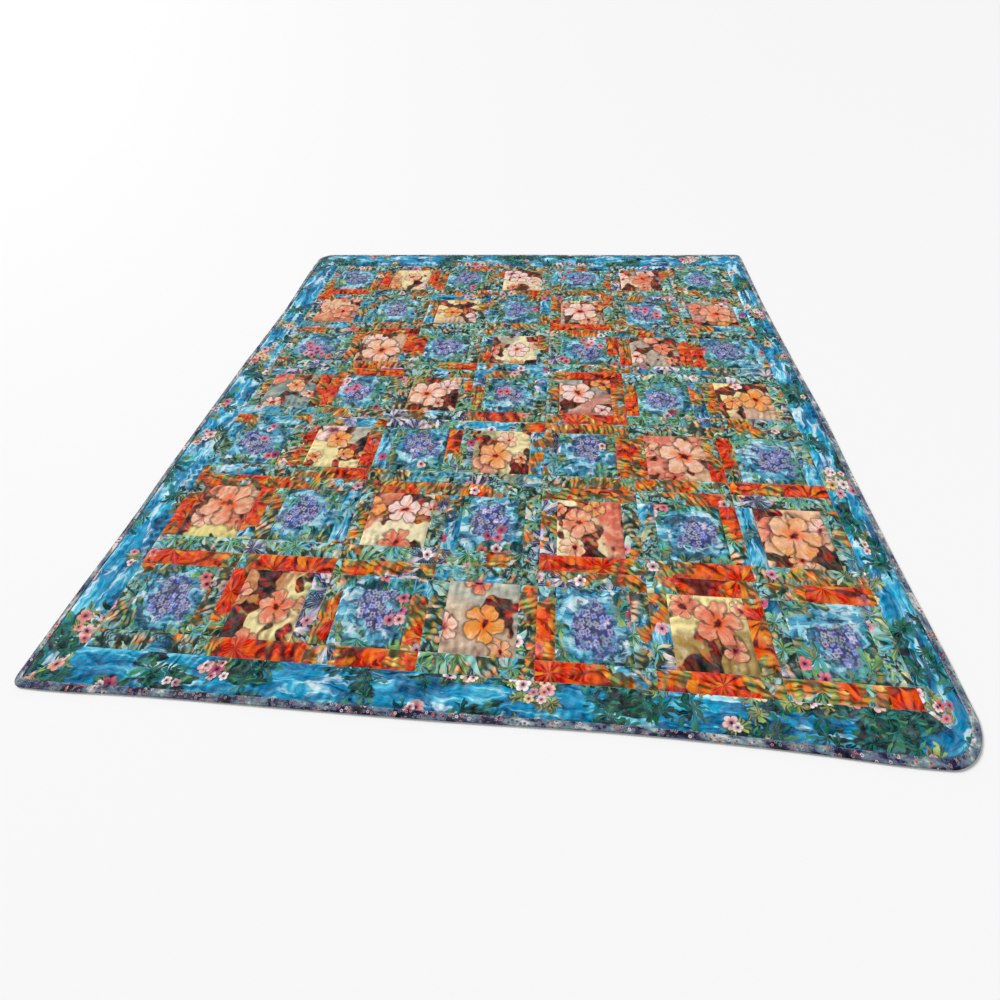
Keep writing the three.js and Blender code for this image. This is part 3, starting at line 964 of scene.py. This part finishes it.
def makeBorder(side):
    phases = dice.random(4) * borderShape["clothReach"]
    top, cloth = borderTop(side, phases)
    palms, lastPalms, foam = borderCuts[side]
    share = np.linspace(-1, 1, len(top))[:, None]
    grove = np.interp(share, borderShape["grove"], (0, 1))
    values = {"cloth": cloth, "mood": spread(palms + lastPalms * grove, foam, 0.0)}
    patch = {"top": top, "floors": (borderShape["tuckFloor"], 0.0), "values": values}
    return sewTogether("border_" + side + "_cloth", [patch], [shorePrint, backingCotton])


bindingShape = {
    "topHeight": 0.006, "lip": 0.0012, "flat": 0.0033, "swell": 0.0003, "wave": 0.0005, "waveSize": 0.022,
    "endGap": 0.0002, "steps": 470, "flatPoints": 4, "roundPoints": 7, "clothReach": 9,
}
# how much paler each length is than the front one, which is left darker as painted shade
bindingPaintedShade = {"front": 0.0, "right": 0.08, "back": 0.08, "left": 0.07}


def bindingSection():
    # (inset from the rim, height) round the folded strip: over the top, round the fold and back underneath
    shape = bindingShape
    high, lip, fold = shape["topHeight"], shape["lip"], shape["flat"]
    turn = np.linspace(math.pi / 2, -math.pi / 2, shape["roundPoints"])
    flat = np.linspace(binding, fold, shape["flatPoints"], endpoint=False)
    swell = shape["swell"] * np.sin(np.linspace(0, math.pi, shape["flatPoints"]))
    outer = [(inset, high + up) for inset, up in zip(flat, swell)]
    outer += [(fold * (1 - math.cos(a)), high / 2 * (1 + math.sin(a))) for a in turn]
    outer += [(inset, 0.0) for inset in flat[::-1]]
    tight, small = fold - lip, high / 2 - lip
    inner = [(inset, lip) for inset in flat]
    inner += [(fold - tight * math.cos(a), high / 2 + small * math.sin(a)) for a in turn[::-1]]
    inner += [(inset, high - lip) for inset in flat[::-1]]
    return np.array(outer + inner)


def makeBinding(side):
    shape = bindingShape
    section = bindingSection()
    inset, top = section.T
    share, along, x, y = sideGrid(side, halfQuilt - inset, shape)
    phase = dice.random() * shape["clothReach"]
    onTop = np.clip(2 * top / shape["topHeight"] - 1, 0, 1)
    uneven = shape["wave"] * softNoise(along, inset * 3, shape["waveSize"], phase) * onTop
    x, y = settle(x, y)
    points = spread(x, y, top + uneven)
    n, ring = share.shape
    index = np.arange(n * ring).reshape(n, ring)
    turned = np.roll(index, -1, axis=1)
    quads = spread(index[:-1], turned[:-1], turned[1:], index[1:]).reshape(-1, 4)
    faces = list(quads) + [index[0, ::-1], index[-1]]
    around = np.cumsum(np.hypot(*(section - np.roll(section, 1, axis=0)).T))
    # the mood carries the painted shade: the front length is drawn darker than the others
    values = {
        "cloth": spread(along + phase, around + phase, 0.0).reshape(-1, 3),
        "mood": spread(0 * along + bindingPaintedShade[side], 0.0, 0.0).reshape(-1, 3),
    }
    slots = np.zeros(len(faces), int)
    smooth = np.arange(len(faces)) < len(quads)
    name = "binding_" + side + "_cloth"
    return makeMesh(name, points.reshape(-1, 3), faces, slots, smooth, values, [sprigPrint])


borders = {side: makeBorder(side) for side in sides}
bindings = {side: makeBinding(side) for side in sides}
print("borders and bindings sewn on")

stitchLook = {
    "quilting": {"Pitch": 0.0048, "Length": 0.0034, "Thickness": 0.0007},
    "binding": {"Pitch": 0.004, "Length": 0.0027, "Thickness": 0.0007},
    "uneven": (0.85, 1.12), "seed": 3,
    "seamStep": 0.03, "seamLift": 0.0001,
    "bindingPoints": 240, "bindingInset": 0.0012, "bindingLift": 0.0002,
}


def stitchTree(material):
    # lays a small grain of thread at even steps along every row
    tree = bpy.data.node_groups.new("stitchRow", "GeometryNodeTree")
    tree.interface.new_socket("Rows", in_out="INPUT", socket_type="NodeSocketGeometry")
    for name in ("Pitch", "Length", "Thickness"):
        tree.interface.new_socket(name, in_out="INPUT", socket_type="NodeSocketFloat")
    tree.interface.new_socket("Stitches", in_out="OUTPUT", socket_type="NodeSocketGeometry")
    add = partial(addNode, tree)
    given = add("NodeGroupInput")
    rows = add("GeometryNodeMeshToCurve", {"Mesh": given["Rows"]})
    points = add("GeometryNodeResampleCurve", {"Curve": rows[0], "Length": given["Pitch"]}, mode="LENGTH")
    sizes = {"X": given["Length"], "Y": given["Thickness"], "Z": given["Thickness"]}
    size = add("ShaderNodeCombineXYZ", sizes)
    grain = add("GeometryNodeMeshUVSphere", {"Segments": 4, "Rings": 2, "Radius": 0.5})
    thread = add("GeometryNodeTransform", {"Geometry": grain[0], "Scale": size[0]})
    way = add("GeometryNodeInputTangent")
    turn = add("FunctionNodeAlignRotationToVector", {"Vector": way[0]}, axis="X")
    least, most = stitchLook["uneven"]
    chance = {2: least, 3: most, "Seed": stitchLook["seed"]}
    uneven = add("FunctionNodeRandomValue", chance, data_type="FLOAT")
    places = {"Points": points[0], "Instance": thread[0], "Rotation": turn[0], "Scale": uneven[1]}
    laid = add("GeometryNodeInstanceOnPoints", places)
    real = add("GeometryNodeRealizeInstances", {"Geometry": laid[0]})
    dressed = add("GeometryNodeSetMaterial", {"Geometry": real[0], "Material": material})
    add("NodeGroupOutput", {"Stitches": dressed[0]})
    return tree


def sewStitches(name, rows, sizes, tree):
    # rows are polylines; the tree's result becomes a plain mesh
    points = np.concatenate(rows) + patternMiddle
    starts = np.cumsum([0] + [len(row) for row in rows])
    links = [(i, i + 1) for a, b in zip(starts, starts[1:]) for i in range(a, b - 1)]
    guide = bpy.data.meshes.new(name + "_rows")
    guide.from_pydata(points.tolist(), links, [])
    helper = addObject(name + "_rows", guide)
    sewing = helper.modifiers.new("stitchRow", "NODES")
    sewing.node_group = tree
    for item in tree.interface.items_tree:
        if item.name in sizes:
            sewing[item.identifier] = sizes[item.name]
    graph = bpy.context.evaluated_depsgraph_get()
    mesh = bpy.data.meshes.new_from_object(helper.evaluated_get(graph))
    bpy.data.objects.remove(helper)
    mesh.name = name
    return addObject(name, mesh)


def seamRow(x0, y0, x1, y1):
    # a row of points just above a seam
    steps = max(2, round(math.hypot(x1 - x0, y1 - y0) / stitchLook["seamStep"]))
    t = np.linspace(0, 1, steps + 1)
    x, y = x0 + (x1 - x0) * t, y0 + (y1 - y0) * t
    return spread(x, y, seam + sway(x, y) + stitchLook["seamLift"])


seamRows = []
for step in range(blocks + 1):
    line = step * block - halfField
    seamRows += [seamRow(line, -halfField, line, halfField), seamRow(-halfField, line, halfField, line)]
for col, row in blockPlaces:
    left, front = col * block - halfField, row * block - halfField
    inL, inF = left + strip, front + strip
    seamRows += [seamRow(left, y, left + block, y) for y in (inF, inF + square)]
    seamRows += [seamRow(x, inF, x, inF + square) for x in (inL, inL + square)]

bindingRows = []
for side in sides:
    out = halfField + border + stitchLook["bindingInset"]
    share = np.linspace(-1, 1, stitchLook["bindingPoints"])
    x, y = settle(*onSide(side, share * out, out))
    bindingRows.append(spread(x, y, bindingShape["topHeight"] + stitchLook["bindingLift"]))

rowTree = stitchTree(sewingThread)
quiltingStitches = sewStitches("quilting_stitches", seamRows, stitchLook["quilting"], rowTree)
bindingStitches = sewStitches("binding_stitches", bindingRows, stitchLook["binding"], rowTree)
print("stitches:", len(quiltingStitches.data.polygons) + len(bindingStitches.data.polygons), "faces")

for name, piece in fieldPieces.items():
    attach(piece, "root")
    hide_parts("pieced_centre")
for side, edge in sides.items():
    borderWidth = border + float(np.dot(quilt["rimShift"], edge["out"]))
    for piece, node, slot, width, outer in (
        (borders[side], "border_" + side, "border", borderWidth, halfField + border),
        (bindings[side], "binding_" + side, "binding", 2 * binding, halfQuilt),
    ):
        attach(piece, "root")
        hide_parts(node)
        length = 2 * outer
        area = width * (length - border) if slot == "border" else None
        "laid" if slot == "border" else "folded"
for piece, slot in ((quiltingStitches, "patchwork"), (bindingStitches, "binding")):
    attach(piece, "root")

studio = {
    "floorSize": 80.0, "floorDrop": 0.0005, "floorTone": 0.96, "floorRoughness": 0.9, "sky": 0.42,
    "sunStrength": 3.1, "sunSoftness": 18.0, "sunFrom": (-0.8, 0.55, 0.66),
}


def makeStudio():
    world = bpy.data.worlds.new("softSky")
    world.use_nodes = True
    sky = world.node_tree.nodes["Background"].inputs
    sky["Color"].default_value = (1, 1, 1, 1)
    sky["Strength"].default_value = studio["sky"]
    scene.world = world
    reach = studio["floorSize"] / 2
    mesh = bpy.data.meshes.new("floor")
    corners = [(-reach, -reach), (reach, -reach), (reach, reach), (-reach, reach)]
    mesh.from_pydata([(x, y, -studio["floorDrop"]) for x, y in corners], [], [(0, 1, 2, 3)])
    floor = addObject("floor", mesh)
    tone = (studio["floorTone"],) * 3 + (1,)
    paper = Finish("paleFloor", {"Roughness": studio["floorRoughness"], "Base Color": tone})
    mesh.materials.append(paper.material)
    light = bpy.data.lights.new("windowLight", "SUN")
    light.energy, light.angle = studio["sunStrength"], math.radians(studio["sunSoftness"])
    lamp = addObject("windowLight", light)
    lamp.rotation_euler = Vector(studio["sunFrom"]).to_track_quat("Z", "Y").to_euler()


# where the picture was taken from, about the middle of the blocks
viewpoint = {
    "place": (0.154, -1.297, 1.107), "axisTurn": (0.619, 0.06, 0.066),
    "lens": 14.82, "sensor": 36.0, "shift": (-0.0111, -0.0007), "farthest": 200,
}


def makeCamera():
    lens = bpy.data.cameras.new("camera")
    lens.lens, lens.sensor_width = viewpoint["lens"], viewpoint["sensor"]
    lens.shift_x, lens.shift_y = viewpoint["shift"]
    lens.clip_end = viewpoint["farthest"]
    camera = addObject("camera", lens)
    turn = Vector(viewpoint["axisTurn"])
    camera.rotation_mode = "AXIS_ANGLE"
    camera.rotation_axis_angle = (turn.length, *turn.normalized())
    camera.location = Vector(viewpoint["place"]) + Vector(patternMiddle)
    scene.camera = camera


makeStudio()
makeCamera()
print("studio ready")

bpy.context.view_layer.update()
